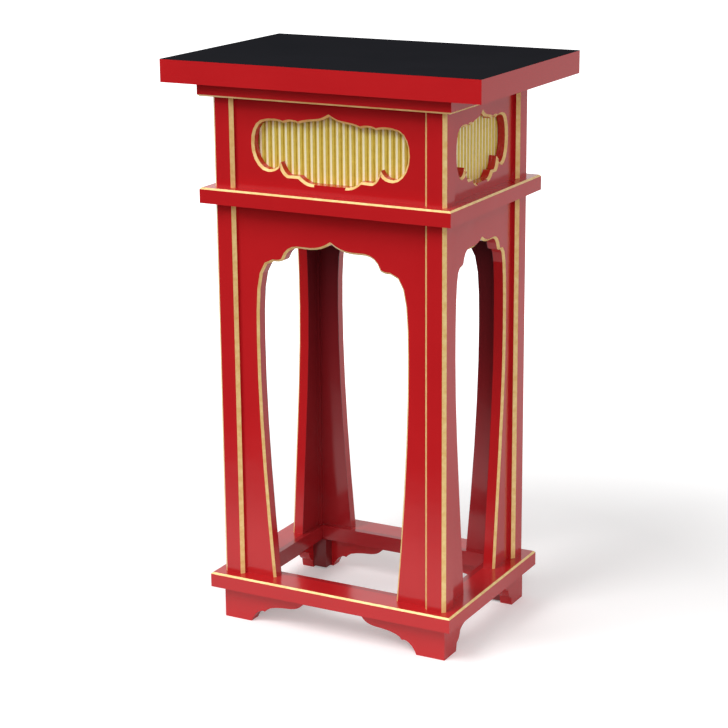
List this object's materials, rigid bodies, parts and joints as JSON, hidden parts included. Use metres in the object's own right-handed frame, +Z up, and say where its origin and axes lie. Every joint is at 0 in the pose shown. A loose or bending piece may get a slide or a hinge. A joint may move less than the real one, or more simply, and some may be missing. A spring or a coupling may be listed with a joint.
{
  "type": "incense stand",
  "caption": "Tall lacquered wooden stand with an overhanging top board, gilt reeded cartouche panels, tall arched openings and scalloped feet, for an incense burner.",
  "frame": {"origin": "on the floor under the middle of the stand", "axes": "+Z up, -Y out of the front, +X to the viewer's right"},
  "size_m": [0.364, 0.242, 0.613],
  "materials": {
    "red_lacquer": "glossy vermilion lacquer with gold-leafed bevels",
    "dark_lacquer": "satin dark red lacquer",
    "black_lacquer": "polished black lacquer",
    "gilt_reeds": "gold leaf over carved reeds"
  },
  "bodies": {
    "root": {"top_panel": "black_lacquer", "top_edge_front": "red_lacquer", "top_edge_right": "red_lacquer", "top_edge_back": "red_lacquer", "top_edge_left": "red_lacquer", "moulding_rail_front": "red_lacquer", "moulding_rail_right": "red_lacquer", "moulding_rail_back": "red_lacquer", "moulding_rail_left": "red_lacquer", "waist_rail_front": "red_lacquer", "waist_rail_right": "red_lacquer", "waist_rail_back": "red_lacquer", "waist_rail_left": "red_lacquer", "base_rail_front": "red_lacquer", "base_rail_right": "red_lacquer", "base_rail_back": "red_lacquer", "base_rail_left": "red_lacquer", "upper_post_front_left": "red_lacquer", "upper_post_front_right": "red_lacquer", "upper_post_back_right": "red_lacquer", "upper_post_back_left": "red_lacquer", "lower_post_front_left": "red_lacquer", "lower_post_front_right": "red_lacquer", "lower_post_back_right": "red_lacquer", "lower_post_back_left": "red_lacquer", "upper_panel_front": "red_lacquer", "upper_panel_right": "red_lacquer", "upper_panel_back": "red_lacquer", "upper_panel_left": "red_lacquer", "arch_panel_front": "red_lacquer", "arch_panel_right": "red_lacquer", "arch_panel_back": "red_lacquer", "arch_panel_left": "red_lacquer", "apron_front": "red_lacquer", "apron_right": "red_lacquer", "apron_back": "red_lacquer", "apron_left": "red_lacquer", "reed_board_front": "gilt_reeds", "reed_board_right": "gilt_reeds", "reed_board_back": "gilt_reeds", "reed_board_left": "gilt_reeds", "waist_panel": "dark_lacquer", "foot_block_front_left": "dark_lacquer", "foot_block_front_right": "dark_lacquer", "foot_block_back_right": "dark_lacquer", "foot_block_back_left": "dark_lacquer"}
  },
  "joints": []
}
